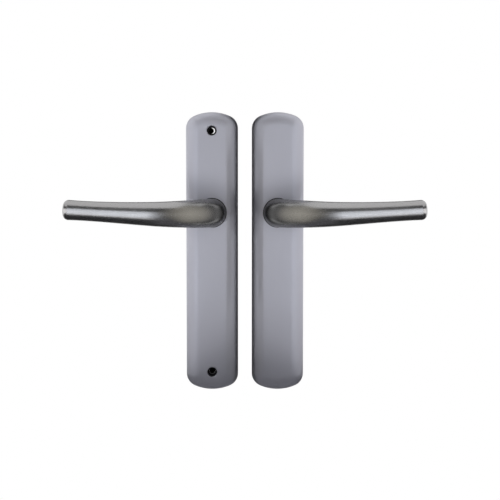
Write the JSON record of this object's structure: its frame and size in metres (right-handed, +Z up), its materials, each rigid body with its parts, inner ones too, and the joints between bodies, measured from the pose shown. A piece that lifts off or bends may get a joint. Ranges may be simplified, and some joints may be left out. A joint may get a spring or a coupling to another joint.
{
  "type": "door lever set on backplate",
  "caption": "Mirrored door lever handles on long rounded backplates in satin grey, sprung to return, with a square spindle, screw holes and threaded posts for fixing through a door.",
  "frame": {"origin": "where the inside half's spindle axis meets the door's face, in the plane of the plates' back faces", "axes": "+X right across the two halves, +Y into the door, so the fronts look along -Y, +Z up along the plates"},
  "size_m": [0.3089, 0.1296, 0.248],
  "materials": {
    "satin_grey_aluminium": "fine satin, grey anodised",
    "black_acetal": "plain moulded",
    "zinc_plated_steel": "zinc plated",
    "spring_steel": "oiled spring steel",
    "bright_steel": "bright drawn"
  },
  "bodies": {
    "plates": {"inside_backplate": "satin_grey_aluminium", "inside_bearing_bush": "black_acetal", "inside_return_spring": "spring_steel", "inside_spring_cover": "zinc_plated_steel", "inside_cover_screws": "zinc_plated_steel", "outside_backplate": "satin_grey_aluminium", "outside_bearing_bush": "black_acetal", "outside_return_spring": "spring_steel", "outside_spring_cover": "zinc_plated_steel", "outside_cover_screws": "zinc_plated_steel", "outside_fixing_posts": "zinc_plated_steel"},
    "inside_handle": {"inside_lever": "satin_grey_aluminium", "inside_spring_driver": "zinc_plated_steel", "inside_thrust_washer": "zinc_plated_steel", "inside_retaining_ring": "spring_steel", "inside_grub_screw": "bright_steel"},
    "outside_handle": {"outside_lever": "satin_grey_aluminium", "outside_spring_driver": "zinc_plated_steel", "outside_thrust_washer": "zinc_plated_steel", "outside_retaining_ring": "spring_steel", "outside_spindle": "bright_steel", "outside_spindle_pin": "spring_steel"}
  },
  "joints": [
    {"name": "inside_turn", "type": "hinge", "parent": "plates", "child": "inside_handle", "pos_m": [0, 0, 0], "axis": [0, -1, 0], "range_deg": [0, 40], "stiffness_Nm_per_rad": 1, "springref_deg": -28.65, "deforming": ["inside_return_spring"]},
    {"name": "outside_turn", "type": "hinge", "parent": "plates", "child": "outside_handle", "pos_m": [0.0585, 0, 0], "axis": [0, 1, 0], "range_deg": [0, 40], "stiffness_Nm_per_rad": 1, "springref_deg": -28.65, "deforming": ["outside_return_spring"]}
  ]
}
